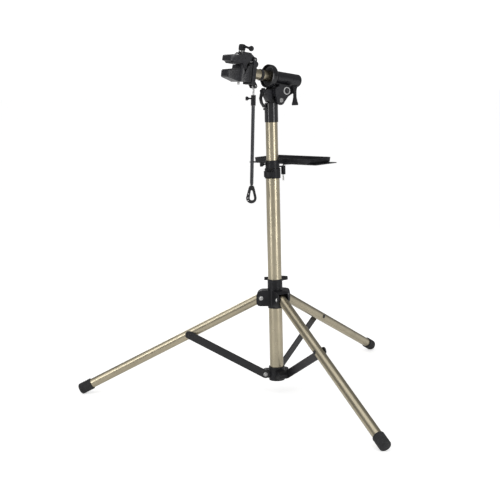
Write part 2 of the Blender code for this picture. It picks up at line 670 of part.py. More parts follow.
# ---------------------------------------------------------------- clamp

def make_clamp_body():
    tube = pipe("clamp_tube", ARM_RADIUS, ARM_BORE, -90, 66 - GAP, clamp_axes, axis=(1, 0, 0), steps=32)
    band = pipe("tube_band", ARM_RADIUS + 1.5, ARM_RADIUS + GAP, 32, 41, clamp_axes, axis=(1, 0, 0), steps=24)
    finish(tube, GOLD)
    finish(band, RUBBER)
    plate = block("clamp_plate", (66, -22, -32), (78, 22, 30), clamp_axes)
    hanger = [(67, -20), (67, -31.5), (60, -41), (53, -41), (49, -36), (51, -30), (60, -20)]
    jaw_lug = [(66, 26), *arc(JAW_PIVOT, 6, 180, 0, 6), (78, 26)]
    for sign in (-1, 1):
        low, high = sorted((sign * 6.5, sign * 10.5))
        join(plate, prism("rod_hanger_%d" % sign, hanger, low, high, clamp_axes))
        low, high = sorted((sign * 14, sign * 20))
        join(plate, prism("jaw_lug_%d" % sign, jaw_lug, low, high, clamp_axes))
    s, h = JAW_PIVOT
    cut(plate, rod("jaw_lug_bore", (s, -30, h), (s, 30, h), 2.8, clamp_axes, SMALL_SIDES))
    x, z = ROD_PIVOT
    cut(plate, rod("hanger_bore", (x, -30, z), (x, 30, z), 2.8, head_axes, SMALL_SIDES))
    cut(plate, rod("knob_bore", (60, KNOB_N, KNOB_H), (74, KNOB_N, KNOB_H), 2.8, clamp_axes, SMALL_SIDES))
    finish(plate, CAST)
    finish(rod("jaw_pin", (s, -20.5, h), (s, 20.5, h), 2.5, clamp_axes, SMALL_SIDES), STEEL)
    finish(block("clamp_spacer", (78 + GAP, -20, -26), (90, 20, 24), clamp_axes, bevel=1.0), RUBBER)
    finish(rod("rod_hinge_pin", (x, -11.5, z), (x, 11.5, z), 2.5, head_axes, SMALL_SIDES), STEEL)


def make_lower_jaw():
    half = BODY_HALF_WIDTH
    outline = [(90 + GAP, -27), (118, -30.5), (JAW_TIP - 3, -22), (JAW_TIP, -19), (JAW_TIP, -3.6), (121, 4.2),
               (120, 9), (119, 17), (117, 19), (106, -4), (97, 15), (90 + GAP, 20)]
    jaw = prism("lower_jaw", outline, -half, half, clamp_axes)
    # The plan narrows to the jaw's width in front of the body.
    trim = [(119, JAW_HALF_WIDTH + 3), (124, JAW_HALF_WIDTH), (JAW_TIP - 6, JAW_HALF_WIDTH - 3),
            (JAW_TIP + 5, JAW_HALF_WIDTH - 8), (JAW_TIP + 5, 60), (112, 60), (112, half + 1)]
    for sign in (-1, 1):
        side = [(s, sign * n) for s, n in trim]
        cut(jaw, prism("lower_trim_%d" % sign, side, -60, 60, clamp_axes, plane="XY"))
    cut(jaw, rod("screw_bore", (SCREW_S, 0, -60), (SCREW_S, 0, 60), SCREW_RADIUS + 0.5, clamp_axes, 16))
    finish(jaw, CAST)
    pad = [(122, 4.3), (JAW_TIP - 2, -2.9), (JAW_TIP - 2, -0.6), (122, 6.8)]
    finish(jaw_pad("lower_pad", pad), RUBBER)


def jaw_pad(name, outline):
    pad = prism(name, outline, -JAW_HALF_WIDTH + 1, JAW_HALF_WIDTH - 1, clamp_axes)
    for sign in (-1, 1):
        side = [(JAW_TIP - 7, sign * (JAW_HALF_WIDTH - 3.5)), (JAW_TIP + 5, sign * (JAW_HALF_WIDTH - 8.5)),
                (JAW_TIP + 5, sign * 60), (100, sign * 60), (100, sign * (JAW_HALF_WIDTH + 2))]
        cut(pad, prism("%s_trim_%d" % (name, sign), side, -60, 60, clamp_axes, plane="XY"))
    return pad


def make_upper_jaw():
    """Arched lever from the rear pivot, over the screw, to the upper jaw."""
    s, h = JAW_PIVOT
    arch = [(s + 6, 32)] + arc(JAW_PIVOT, 6.5, -60, -240, 8)
    arch += [(80, 51), (90, 54), (112, 54), (118, 48), (130, 42), (130, 26), (97, 25), (88, 28)]
    arm = prism("upper_jaw", arch, -13.4, 13.4, clamp_axes, origin=(s, 0, h))
    jaw = [(86, 30), (86, 52.5), (90, 54), (112, 54), (118, 48), (126, 42), (150, 42), (JAW_TIP - 2, 39),
           (JAW_TIP, 35), (JAW_TIP, 24), (151, 24), (147, 21.3), (119, 21.3), (113, 23), (106, 5), (102, 5), (97, 24)]
    join(arm, prism("upper_jaw_front", jaw, -JAW_HALF_WIDTH, JAW_HALF_WIDTH, clamp_axes))
    for sign in (-1, 1):
        side = [(JAW_TIP - 8, sign * (JAW_HALF_WIDTH + 0.5)), (JAW_TIP + 5, sign * (JAW_HALF_WIDTH - 7)),
                (JAW_TIP + 5, sign * 60), (JAW_TIP - 8, sign * 60)]
        cut(arm, prism("upper_trim_%d" % sign, side, -60, 80, clamp_axes, plane="XY"))
    cut(arm, block("screw_slot", (97.8, -4.3, -20), (122, 4.3, 80), clamp_axes))
    cut(arm, rod("jaw_bore", (s, -30, h), (s, 30, h), 2.8, clamp_axes, SMALL_SIDES))
    finish(arm, CAST)
    outline = [(123, 18.5), (147, 18.5), (147, 21), (123, 21)]
    pad = prism("upper_pad", outline, -18.5, 18.5, clamp_axes, origin=(s, 0, h))
    finish(pad, RUBBER)


def make_crank():
    """Clamp screw with its thrust washer and crank handle."""
    axis_foot = Vector((SCREW_S, 0, 0))
    washer = pipe("thrust_washer", 9.5, SCREW_RADIUS + GAP, 54 + GAP, 57.5, clamp_axes, axis_foot, steps=20)
    finish(washer, STEEL)
    finish(rod("crank_screw", (SCREW_S, 0, -37), (SCREW_S, 0, 64), SCREW_RADIUS, clamp_axes), STEEL)
    bore = SCREW_RADIUS + GAP
    hub = [(0, 76), (7, 76), (10, 73), (10, 60), (8.5, 57.8), (bore, 57.8), (bore, 64.3), (0, 64.3)]
    handle = turned("crank_handle", hub, clamp_axes, axis_foot, steps=20)
    angle = math.radians(CRANK_HEADING)
    along = Vector((math.cos(angle), math.sin(angle), 0))
    arm_start = axis_foot + along * 7 + Vector((0, 0, 69))
    arm_end = axis_foot + along * (CRANK_REACH - 8) + Vector((0, 0, 65))
    join(handle, rod("crank_arm", arm_start, arm_end, 3.6, clamp_axes, 12))
    finish(handle, BLACK)
    bm = bmesh.new()
    bmesh.ops.create_uvsphere(bm, u_segments=16, v_segments=10, radius=7.6)
    tip = axis_foot + along * (CRANK_REACH + GAP) + Vector((0, 0, 63.5))
    bmesh.ops.translate(bm, verts=bm.verts, vec=tip)
    finish(add_object("crank_ball", bm, clamp_axes, axis_foot), BLACK)


def make_tension_knob():
    base = (66 - GAP, KNOB_N, KNOB_H)
    knob = [(0, 8), (6.5, 8), (8, 6.5), (8, 1.5), (7, 0), (0, 0)]
    item = turned("tension_knob", knob, clamp_axes, base, (-1, 0, 0), 20)
    join(item, rod("tension_stud", (62, KNOB_N, KNOB_H), (73, KNOB_N, KNOB_H), 2.5, clamp_axes, SMALL_SIDES))
    finish(item, BLACK)


# ---------------------------------------------------------------- handlebar rod

def teardrop(low_radius, high_radius, spread, shift=0.0):
    """Outline of a loop: a large arc below, a small one above, joined by tangents."""
    lean = math.degrees(math.asin((low_radius - high_radius) / spread))
    outline = arc((shift, 0), low_radius, lean, -180 - lean, 14)
    return outline + arc((shift * 0.3, spread), high_radius, 180 - lean, lean, 6)


def make_rod():
    """Two-part rod that hangs from the clamp plate, leaning a little outwards at rest."""
    x, z = ROD_PIVOT
    swing = empty("rod_swing_axes", head_axes, (x, 0, z), (0, -ROD_LEAN, 0))
    hang = empty("rod_axes", swing, (0, 0, -z))
    shaft = rod("rod_shaft", (0, 0, ROD_BOTTOM), (0, 0, z - 2), ROD_RADIUS, hang, 16, origin=(0, 0, z))
    join(shaft, rod("rod_eye", (0, -6, z), (0, 6, z), 5.0, hang, 16))
    cut(shaft, rod("rod_eye_bore", (0, -20, z), (0, 20, z), 2.8, hang, SMALL_SIDES))
    finish(shaft, STEEL)
    tube_top = ROD_COLLAR_BOTTOM - GAP
    tube = pipe("rod_tube", ROD_TUBE_RADIUS, ROD_TUBE_BORE, ROD_TUBE_BOTTOM, tube_top, hang, steps=16)
    join(tube, rod("rod_end", (0, 0, 630), (0, 0, 642), 4.4, hang, 16))
    finish(tube, DARK_STEEL)
    collar = pipe("rod_collar", 6.9, ROD_RADIUS + GAP, ROD_COLLAR_BOTTOM, ROD_COLLAR_TOP, hang, steps=20)
    side = empty("rod_view_axes", hang, (0, 0, 0), (0, 0, VIEW_HEADING + 180))
    cut(collar, rod("collar_screw_bore", (0.5, 0, ROD_KNOB_Z), (12, 0, ROD_KNOB_Z), 2.3, side, SMALL_SIDES))
    finish(collar, BLACK)
    knob = [(0, 22.5), (3.6, 21.7), (5.8, 19), (5.8, 16), (3.6, 13), (2, 11.8), (2, 3.5), (0, 3.5)]
    finish(turned("rod_thumbscrew", knob, side, (0, 0, ROD_KNOB_Z), (1, 0, 0), 14), BLACK)
    make_strap(side)


def make_strap(side):
    """Flat rubber loop with button holes down its wide side."""
    low = 592.5
    outer = [(u, v + low) for u, v in teardrop(15.2, 8.3, 28.9)]
    inner = [(u, v + low) for u, v in teardrop(6.3, 2.6, 20.0, -1.6)]
    strap = prism("rod_strap", outer, -2.5, 2.5, side)
    cut(strap, prism("strap_hole", inner, -10, 10, side))
    for i, (u, v) in enumerate(((10.2, 0.0), (8.2, 12.0), (9.4, -7.0))):
        cut(strap, rod("strap_button_%d" % i, (u, -10, low + v), (u, 10, low + v), 1.3, side, 10))
    finish(strap, RUBBER)


make_mast()
for leg_side in LEG_HEADINGS:
    make_leg(leg_side)
make_hub()
make_hub_clamp()
make_base()
make_height_clamp()
make_tray_collar()
make_tray()
make_fork()
make_head_casting()
make_head_fittings()
make_rotation_lock()
make_clamp_body()
make_lower_jaw()
make_upper_jaw()
make_crank()
make_tension_knob()
make_rod()
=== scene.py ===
"""Visual model of the folding bike repair stand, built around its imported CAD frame.

Local drawings are in millimetres in the frame of the piece; meshes are written in metres.
"""

import json
import math

import bmesh
import bpy
from mathutils import Matrix, Vector


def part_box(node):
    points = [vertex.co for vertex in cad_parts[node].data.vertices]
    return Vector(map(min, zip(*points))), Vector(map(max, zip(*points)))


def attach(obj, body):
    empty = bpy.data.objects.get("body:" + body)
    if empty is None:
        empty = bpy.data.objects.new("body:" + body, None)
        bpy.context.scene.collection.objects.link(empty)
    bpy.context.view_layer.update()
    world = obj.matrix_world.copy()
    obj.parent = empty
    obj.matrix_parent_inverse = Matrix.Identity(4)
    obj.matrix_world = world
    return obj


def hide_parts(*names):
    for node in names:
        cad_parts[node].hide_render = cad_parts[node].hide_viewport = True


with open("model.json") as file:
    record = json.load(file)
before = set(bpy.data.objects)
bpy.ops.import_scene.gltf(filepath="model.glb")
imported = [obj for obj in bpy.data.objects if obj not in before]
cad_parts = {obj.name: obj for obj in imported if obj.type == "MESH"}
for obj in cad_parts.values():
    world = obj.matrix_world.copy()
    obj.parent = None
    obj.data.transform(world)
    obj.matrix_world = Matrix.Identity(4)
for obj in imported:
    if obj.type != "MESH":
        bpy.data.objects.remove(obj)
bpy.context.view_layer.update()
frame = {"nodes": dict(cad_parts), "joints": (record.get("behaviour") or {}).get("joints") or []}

MM = 0.001
SIDES = ("left", "front", "rear")
JOINTS = {joint["name"]: joint for joint in frame["joints"]}


# ---------------------------------------------------------------- frames

def point(joint):
    return Vector(JOINTS[joint]["pos_m"])


def direction(joint):
    return Vector(JOINTS[joint]["axis"]).normalized()


def axes(origin, x, y):
    """A frame at the origin along X, with its Y as near as it can be to the given one."""
    x = x.normalized()
    y = (y - x * x.dot(y)).normalized()
    turn = Matrix((x, y, x.cross(y))).transposed().to_4x4()
    return Matrix.Translation(origin) @ turn


UP = Vector((0, 0, 1))
FOOT_OF_MAST = Vector((point("mast_swivel").x, point("mast_swivel").y, 0))
MAST = Matrix.Translation(FOOT_OF_MAST)
HEAD = axes(FOOT_OF_MAST, direction("lock_lever_open"), -direction("head_fold"))
CLAMP = axes(point("clamp_turn"), direction("clamp_turn"), -direction("jaw_open"))


def centre(node):
    low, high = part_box(node)
    return (low + high) / 2


def out_from_mast(place):
    """The level direction from the mast axis to a place."""
    return Vector((place.x - FOOT_OF_MAST.x, place.y - FOOT_OF_MAST.y, 0)).normalized()


TRAY_OUT = out_from_mast(centre("tray_pan"))
TRAY = axes(FOOT_OF_MAST, TRAY_OUT, UP.cross(TRAY_OUT))

LEG = {}
STRUT_PIVOT = {}
for side in SIDES:
    pivot, knee = point("leg_fold_" + side), point("strut_fold_" + side)
    LEG[side] = axes(pivot, knee - pivot, direction("leg_fold_" + side))
    STRUT_PIVOT[side] = (knee - pivot).length / MM


# ---------------------------------------------------------------- materials

def node_material(name):
    material = bpy.data.materials.new(name)
    material.use_nodes = True
    tree = material.node_tree
    return material, tree, tree.nodes["Principled BSDF"]


def noise(tree, scale, detail=3.0, roughness=0.55, stretch=None):
    """A noise texture that stays fixed to the piece as it moves."""
    place = tree.nodes.new("ShaderNodeTexCoord")
    texture = tree.nodes.new("ShaderNodeTexNoise")
    texture.inputs["Scale"].default_value = scale
    texture.inputs["Detail"].default_value = detail
    texture.inputs["Roughness"].default_value = roughness
    if stretch:
        mapping = tree.nodes.new("ShaderNodeMapping")
        mapping.inputs["Scale"].default_value = stretch
        tree.links.new(place.outputs["Object"], mapping.inputs["Vector"])
        tree.links.new(mapping.outputs["Vector"], texture.inputs["Vector"])
    else:
        tree.links.new(place.outputs["Object"], texture.inputs["Vector"])
    return texture.outputs["Fac"]


def spread(tree, source, low, high, start=0.35, end=0.65):
    """Maps a noise value to a range of numbers."""
    remap = tree.nodes.new("ShaderNodeMapRange")
    remap.inputs["From Min"].default_value = start
    remap.inputs["From Max"].default_value = end
    remap.inputs["To Min"].default_value = low
    remap.inputs["To Max"].default_value = high
    tree.links.new(source, remap.inputs["Value"])
    return remap.outputs["Result"]


def blend_colours(tree, amount, first, second):
    mix = tree.nodes.new("ShaderNodeMix")
    mix.data_type = "RGBA"
    for socket, colour in ((mix.inputs[6], first), (mix.inputs[7], second)):
        if isinstance(colour, bpy.types.NodeSocket):
            tree.links.new(colour, socket)
        else:
            socket.default_value = (*colour, 1.0)
    tree.links.new(amount, mix.inputs[0])
    return mix.outputs[2]


def bump(tree, shader, layers):
    """Chained bumps, each (height output, strength, distance in metres)."""
    last = None
    for height, strength, distance in layers:
        node = tree.nodes.new("ShaderNodeBump")
        node.inputs["Strength"].default_value = strength
        node.inputs["Distance"].default_value = distance
        tree.links.new(height, node.inputs["Height"])
        if last:
            tree.links.new(last, node.inputs["Normal"])
        last = node.outputs["Normal"]
    tree.links.new(last, shader.inputs["Normal"])


def edge_wear(tree, low, high):
    """1 on worn outer edges and 0 elsewhere, broken up by noise."""
    geometry = tree.nodes.new("ShaderNodeNewGeometry")
    edges = spread(tree, geometry.outputs["Pointiness"], 0.0, 1.0, low, high)
    patches = spread(tree, noise(tree, 130.0, 4.0), 0.25, 1.0, 0.42, 0.62)
    product = tree.nodes.new("ShaderNodeMath")
    product.operation = "MULTIPLY"
    product.use_clamp = True
    tree.links.new(edges, product.inputs[0])
    tree.links.new(patches, product.inputs[1])
    return product.outputs[0]


def anodised(name, colour, roughness):
    """Satin anodised aluminium: blasted grain under a hard tinted film."""
    material, tree, shader = node_material(name)
    dark = tuple(channel * 0.9 for channel in colour)
    pale = tuple(min(channel * 1.06, 1.0) for channel in colour)
    tint = blend_colours(tree, spread(tree, noise(tree, 14.0, 4.0), 0.0, 1.0), dark, pale)
    tree.links.new(tint, shader.inputs["Base Color"])
    haze = spread(tree, noise(tree, 45.0, 5.0), roughness - 0.03, roughness + 0.03)
    tree.links.new(haze, shader.inputs["Roughness"])
    shader.inputs["Metallic"].default_value = 1.0
    shader.inputs["Coat Weight"].default_value = 0.12
    shader.inputs["Coat Roughness"].default_value = 0.2
    bump(tree, shader, [(noise(tree, 3200.0, 2.0), 0.05, 0.00003),
                        (noise(tree, 200.0, 2.0), 0.015, 0.00006)])
    return material


def moulded(name, colour, roughness, grain=1700.0, grain_strength=0.35,
            worn_colour=(0.045, 0.045, 0.05), shine=0.32):
    """Moulded plastic with a fine spark-eroded grain and rubbed edges."""
    material, tree, shader = node_material(name)
    dark = tuple(channel * 0.75 for channel in colour)
    pale = tuple(channel * 1.3 for channel in colour)
    tint = blend_colours(tree, spread(tree, noise(tree, 35.0, 4.0), 0.0, 1.0), dark, pale)
    worn = blend_colours(tree, edge_wear(tree, 0.56, 0.7), tint, worn_colour)
    tree.links.new(worn, shader.inputs["Base Color"])
    shader.inputs["Specular IOR Level"].default_value = shine
    haze = spread(tree, noise(tree, 90.0, 4.0), roughness - 0.05, roughness + 0.07)
    tree.links.new(haze, shader.inputs["Roughness"])
    bump(tree, shader, [(noise(tree, grain, 2.0), grain_strength, 0.00008),
                        (noise(tree, 120.0, 2.0), 0.08, 0.0002)])
    return material


def powder_coated(name, colour, roughness):
    """Powder coat: orange peel, a slight coat gloss and thin edges."""
    material, tree, shader = node_material(name)
    dark = tuple(channel * 0.8 for channel in colour)
    pale = tuple(channel * 1.25 for channel in colour)
    tint = blend_colours(tree, spread(tree, noise(tree, 22.0, 5.0), 0.0, 1.0), dark, pale)
    worn = blend_colours(tree, edge_wear(tree, 0.57, 0.7), tint, (0.07, 0.07, 0.075))
    tree.links.new(worn, shader.inputs["Base Color"])
    shader.inputs["Specular IOR Level"].default_value = 0.5
    haze = spread(tree, noise(tree, 160.0, 4.0), roughness - 0.06, roughness + 0.06)
    tree.links.new(haze, shader.inputs["Roughness"])
    shader.inputs["Coat Weight"].default_value = 0.15
    shader.inputs["Coat Roughness"].default_value = 0.3
    bump(tree, shader, [(noise(tree, 900.0, 3.0, 0.65), 0.3, 0.00012),
                        (noise(tree, 2600.0, 1.0), 0.15, 0.00004)])
    return material


def rubber(name, colour):
    """Dull rubber with a dusty bloom and a fine pitted skin."""
    material, tree, shader = node_material(name)
    dusty = tuple(channel * 2.4 + 0.006 for channel in colour)
    tint = blend_colours(tree, spread(tree, noise(tree, 28.0, 6.0, 0.7), 0.0, 0.8), colour, dusty)
    tree.links.new(tint, shader.inputs["Base Color"])
    tree.links.new(spread(tree, noise(tree, 60.0, 4.0), 0.62, 0.8), shader.inputs["Roughness"])
    shader.inputs["Sheen Weight"].default_value = 0.08
    shader.inputs["Sheen Roughness"].default_value = 0.5
    bump(tree, shader, [(noise(tree, 1400.0, 3.0, 0.7), 0.5, 0.00012)])
    return material


def steel(name, colour, roughness, stretch=(1.0, 1.0, 1.0)):
    """Turned or drawn steel with fine lines along its length."""
    material, tree, shader = node_material(name)
    dark = tuple(channel * 0.82 for channel in colour)
    tint = blend_colours(tree, spread(tree, noise(tree, 70.0, 4.0), 0.0, 1.0), dark, colour)
    tree.links.new(tint, shader.inputs["Base Color"])
    lines = noise(tree, 900.0, 2.0, 0.5, stretch)
    tree.links.new(spread(tree, lines, roughness - 0.04, roughness + 0.06),
                   shader.inputs["Roughness"])
    shader.inputs["Metallic"].default_value = 1.0
    bump(tree, shader, [(lines, 0.12, 0.00004)])
    return material


def painted_mark(name):
    """Slightly uneven pad-printed white."""
    material, tree, shader = node_material(name)
    patches = spread(tree, noise(tree, 400.0, 3.0), 0.0, 1.0)
    tint = blend_colours(tree, patches, (0.62, 0.62, 0.62), (0.8, 0.8, 0.79))
    tree.links.new(tint, shader.inputs["Base Color"])
    shader.inputs["Roughness"].default_value = 0.35
    bump(tree, shader, [(noise(tree, 1500.0, 2.0), 0.2, 0.00004)])
    return material


GOLD = anodised("champagne_anodised", (0.6, 0.535, 0.39), 0.3)
PLASTIC = moulded("black_moulded_plastic", (0.014, 0.014, 0.0165), 0.38)
GLOSS = moulded("black_gloss_plastic", (0.009, 0.009, 0.011), 0.16, 900.0, 0.05,
                (0.03, 0.03, 0.034), 0.75)
TRAY_PLASTIC = moulded("charcoal_tray_plastic", (0.02, 0.0205, 0.0235), 0.45, 1300.0, 0.5)
CASTING = powder_coated("charcoal_powder_coat", (0.019, 0.019, 0.023), 0.32)
STRUT_PAINT = powder_coated("black_powder_coat", (0.014, 0.014, 0.016), 0.36)
RUBBER = rubber("black_rubber", (0.012, 0.012, 0.013))
PAD_RUBBER = rubber("jaw_pad_rubber", (0.02, 0.02, 0.021))
STEEL = steel("bright_steel", (0.74, 0.74, 0.73), 0.2)
DRAWN_STEEL = steel("drawn_steel_rod", (0.78, 0.78, 0.78), 0.16, (1.0, 1.0, 0.03))
DARK_TUBE = steel("dark_grey_tube", (0.085, 0.087, 0.093), 0.34, (1.0, 1.0, 0.04))
WHITE_MARK = painted_mark("white_print")


# ---------------------------------------------------------------- mesh tools

def revolve(profile, ring=False, segments=64, along="Z", base=(0, 0, 0)):
    """Turns a profile of (radius, distance along the axis); a ring's closes on itself."""
    bm = bmesh.new()
    verts = [bm.verts.new((radius, 0, height)) for radius, height in profile]
    edges = [bm.edges.new(pair) for pair in zip(verts, verts[1:])]
    if ring:
        edges.append(bm.edges.new((verts[-1], verts[0])))
    bmesh.ops.spin(bm, geom=verts + edges, cent=(0, 0, 0), axis=(0, 0, 1), angle=math.tau,
                   steps=segments, use_merge=True)
    bmesh.ops.remove_doubles(bm, verts=bm.verts, dist=0.0005)
    turns = {"Z": Matrix.Identity(4), "X": Matrix.Rotation(math.pi / 2, 4, "Y"),
             "Y": Matrix.Rotation(-math.pi / 2, 4, "X")}
    bm.transform(Matrix.Translation(base) @ turns[along])
    return bm


def flute(bm, count, depth, low, high, bottom, top):
    """Presses flutes into a knob drawn along Z, between two heights, outside a radius."""
    for vert in bm.verts:
        radius = math.hypot(vert.co.x, vert.co.y)
        if radius > low and bottom < vert.co.z < top:
            angle = math.atan2(vert.co.y, vert.co.x)
            ramp = min((radius - low) / (high - low), 1.0)
            press = depth * (0.5 - 0.5 * math.cos(count * angle)) * ramp
            vert.co.x *= (radius - press) / radius
            vert.co.y *= (radius - press) / radius


def loft(loops):
    """Joins loops of equal length, in order, into a closed skin."""
    bm = bmesh.new()
    rows = [[bm.verts.new(place) for place in loop] for loop in loops]
    for first, second in zip(rows, rows[1:]):
        for i in range(len(first)):
            j = (i + 1) % len(first)
            bm.faces.new((first[i], first[j], second[j], second[i]))
    bm.faces.new(rows[0][::-1])
    bm.faces.new(rows[-1])
    bmesh.ops.recalc_face_normals(bm, faces=bm.faces)
    return bm


def sweep(path, radii, sides):
    """A round bar of varying radius along a path."""
    loops = []
    side_hint = Vector((0, 0, 1))
    for i, place in enumerate(path):
        before, after = path[max(i - 1, 0)], path[min(i + 1, len(path) - 1)]
        along = (Vector(after) - Vector(before)).normalized()
        if abs(along.dot(side_hint)) > 0.95:
            side_hint = Vector((0, 1, 0))
        across = along.cross(side_hint).normalized()
        rise = across.cross(along)
        loops.append([Vector(place) + radii[i] * (math.cos(a) * across + math.sin(a) * rise)
                      for a in (math.tau * k / sides for k in range(sides))])
    return loft(loops)


def rounded_rectangle(x_low, x_high, half, radius, height, steps=8):
    points = []
    corners = ((x_high, -half, -90), (x_high, half, 0), (x_low, half, 90), (x_low, -half, 180))
    for x, y, start in corners:
        cx = x - radius if x == x_high else x + radius
        cy = y - radius if y > 0 else y + radius
        for i in range(steps + 1):
            angle = math.radians(start + 90 * i / steps)
            points.append(Vector((cx + radius * math.cos(angle), cy + radius * math.sin(angle),
                                  height)))
    return points


def merge(*meshes):
    """One bmesh from several."""
    whole = bmesh.new()
    for part in meshes:
        mesh = bpy.data.meshes.new("part")
        part.to_mesh(mesh)
        part.free()
        whole.from_mesh(mesh)
        bpy.data.meshes.remove(mesh)
    return whole


def piece(name, bm, place, body, material, replaces=(), sharp=35):
    """Writes a drawing in millimetres in the frame place as a piece that rides on a body."""
    bm.transform(place @ Matrix.Scale(MM, 4))
    bmesh.ops.recalc_face_normals(bm, faces=bm.faces)
    mesh = bpy.data.meshes.new(name)
    bm.to_mesh(mesh)
    bm.free()
    mesh.materials.append(material)
    mesh.shade_smooth()
    mesh.set_sharp_from_angle(angle=math.radians(sharp))
    item = bpy.data.objects.new(name, mesh)
    bpy.context.scene.collection.objects.link(item)
    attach(item, body)
    if replaces:
        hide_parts(*replaces)


def soften(item, width, segments):
    """Rounds the edges of a piece."""
    edge = item.modifiers.new("edge", "BEVEL")
    edge.width = width * MM
    edge.segments = segments
    edge.limit_method = "ANGLE"
    edge.angle_limit = math.radians(35)
    edge.use_clamp_overlap = True
    edge.harden_normals = True


def dress(node, material, width=0.8, segments=3):
    """Gives a CAD node its finish and soft edges; its points and faces stay as they are."""
    item = frame["nodes"][node]
    item.data.materials.clear()
    item.data.materials.append(material)
    for name in ("custom_normal", "sharp_edge", "sharp_face"):
        layer = item.data.attributes.get(name)
        if layer:
            item.data.attributes.remove(layer)
    weld = item.modifiers.new("weld", "WELD")
    weld.merge_threshold = 0.00001
    merge_faces = item.modifiers.new("flat_faces", "DECIMATE")
    merge_faces.decimate_type = "DISSOLVE"
    merge_faces.angle_limit = math.radians(0.5)
    item.data.shade_smooth()
    soften(item, width, segments)
    split = item.modifiers.new("crisp", "EDGE_SPLIT")
    split.split_angle = math.radians(32)


# ---------------------------------------------------------------- mast and tripod

TUBE_CHAMFER = 0.4
LOWER_WALL = 1.8
UPPER_WALL = 1.6
LEG_WALL = 1.5


def tube(name, place, along, start, end, radius, wall, body, node):
    """A cut tube with broken edges."""
    c = TUBE_CHAMFER
    inner = radius - wall
    profile = [(radius, end - c), (radius, start + c), (radius - c, start), (inner + c, start),
               (inner, start + c), (inner, end - c), (inner + c, end), (radius - c, end)]
    piece(name, revolve(profile, True, 96, along), place, body, GOLD, (node,))


def make_mast():
    low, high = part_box("lower_mast_tube")
    radius = (high.x - low.x) / 2 / MM
    tube("lower_mast", MAST, "Z", low.z / MM, high.z / MM, radius, LOWER_WALL, "mast",
         "lower_mast_tube")
    low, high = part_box("upper_mast_tube")
    radius = (high.x - low.x) / 2 / MM
    tube("upper_mast", MAST, "Z", low.z / MM, high.z / MM, radius, UPPER_WALL, "post",
         "upper_mast_tube")
    dress("glide_bush", PLASTIC, 0.6)
    dress("base_collar", PLASTIC, 1.2)
    dress("hub", PLASTIC, 1.0)
    dress("hub_clamp_bolt", PLASTIC, 0.6)
    dress("hub_lever", PLASTIC, 1.2)
    dress("height_clamp", PLASTIC, 0.8)
    dress("height_clamp_bolt", STEEL, 0.6)
    dress("height_lever", PLASTIC, 1.2)
    dress("tray_collar", PLASTIC, 0.7)


LEG_RADIUS = 14.0
LEG_TOP = -12.0
LEG_END = 613.0
FOOT_START = 582.0
FOOT_END = 624.0
FOOT_RADIUS = 17.0
LUG_FACE = 17.4
STRUT_FACE = 18.5
BASE_PIVOT = (33.0, 61.0)


def rivet_head(at, face):
    """A domed head on a washer, outside a face across the leg."""
    dome = [(0, 2.9), (1.6, 2.75), (3.0, 2.35), (4.2, 1.65), (4.8, 0.9), (4.9, 0.75), (6.0, 0.7),
            (6.2, 0.5), (6.2, 0.1), (0, 0.1)]
    sign = math.copysign(1, face)
    return revolve([(radius, face + sign * rise) for radius, rise in dome], False, 40, "Y",
                   (at, 0, 0))


def rivet(at, near, far):
    """A shank across the leg with a head outside each face."""
    shank = revolve([(0, far), (3.0, far), (3.0, near), (0, near)], False, 24, "Y", (at, 0, 0))
    return merge(shank, rivet_head(at, near), rivet_head(at, far))


def make_foot(side):
    """Rubber boot with a rolled lip, gripping rings and a worn flat sole."""
    lip = [(LEG_RADIUS + 0.3, FOOT_START + 0.6), (LEG_RADIUS + 1.4, FOOT_START),
           (FOOT_RADIUS - 0.7, FOOT_START + 0.5), (FOOT_RADIUS, FOOT_START + 1.8),
           (FOOT_RADIUS, FOOT_START + 4.6), (FOOT_RADIUS - 0.8, FOOT_START + 5.6)]
    wall = []
    for i in range(4):
        s = FOOT_START + 9 + 6.5 * i
        wall += [(FOOT_RADIUS - 0.8, s - 2.4), (FOOT_RADIUS - 0.1, s - 1.4),
                 (FOOT_RADIUS - 0.1, s + 1.4), (FOOT_RADIUS - 0.8, s + 2.4)]
    end = [(FOOT_RADIUS - 0.1, FOOT_END - 8), (FOOT_RADIUS - 0.2, FOOT_END - 5),
           (FOOT_RADIUS - 1.4, FOOT_END - 2.2), (FOOT_RADIUS - 4, FOOT_END - 0.4),
           (FOOT_RADIUS - 7, FOOT_END), (0, FOOT_END)]
    inside = [(0, LEG_END + 0.3), (LEG_RADIUS + 0.3, LEG_END + 0.3)]
    bm = revolve(inside + lip + wall + end, False, 72, "X")
    place = LEG[side]
    flat = place.inverted() @ Vector((0, 0, 0))
    normal = place.inverted().to_3x3() @ Vector((0, 0, -1))
    cut = bmesh.ops.bisect_plane(bm, geom=bm.verts[:] + bm.edges[:] + bm.faces[:],
                                 plane_co=flat / MM, plane_no=normal, clear_outer=True)
    rim = [edge for edge in cut["geom_cut"] if isinstance(edge, bmesh.types.BMEdge)]
    bmesh.ops.edgenet_fill(bm, edges=rim)
    piece("boot_" + side, bm, place, "leg_" + side, RUBBER, ("foot_" + side,))


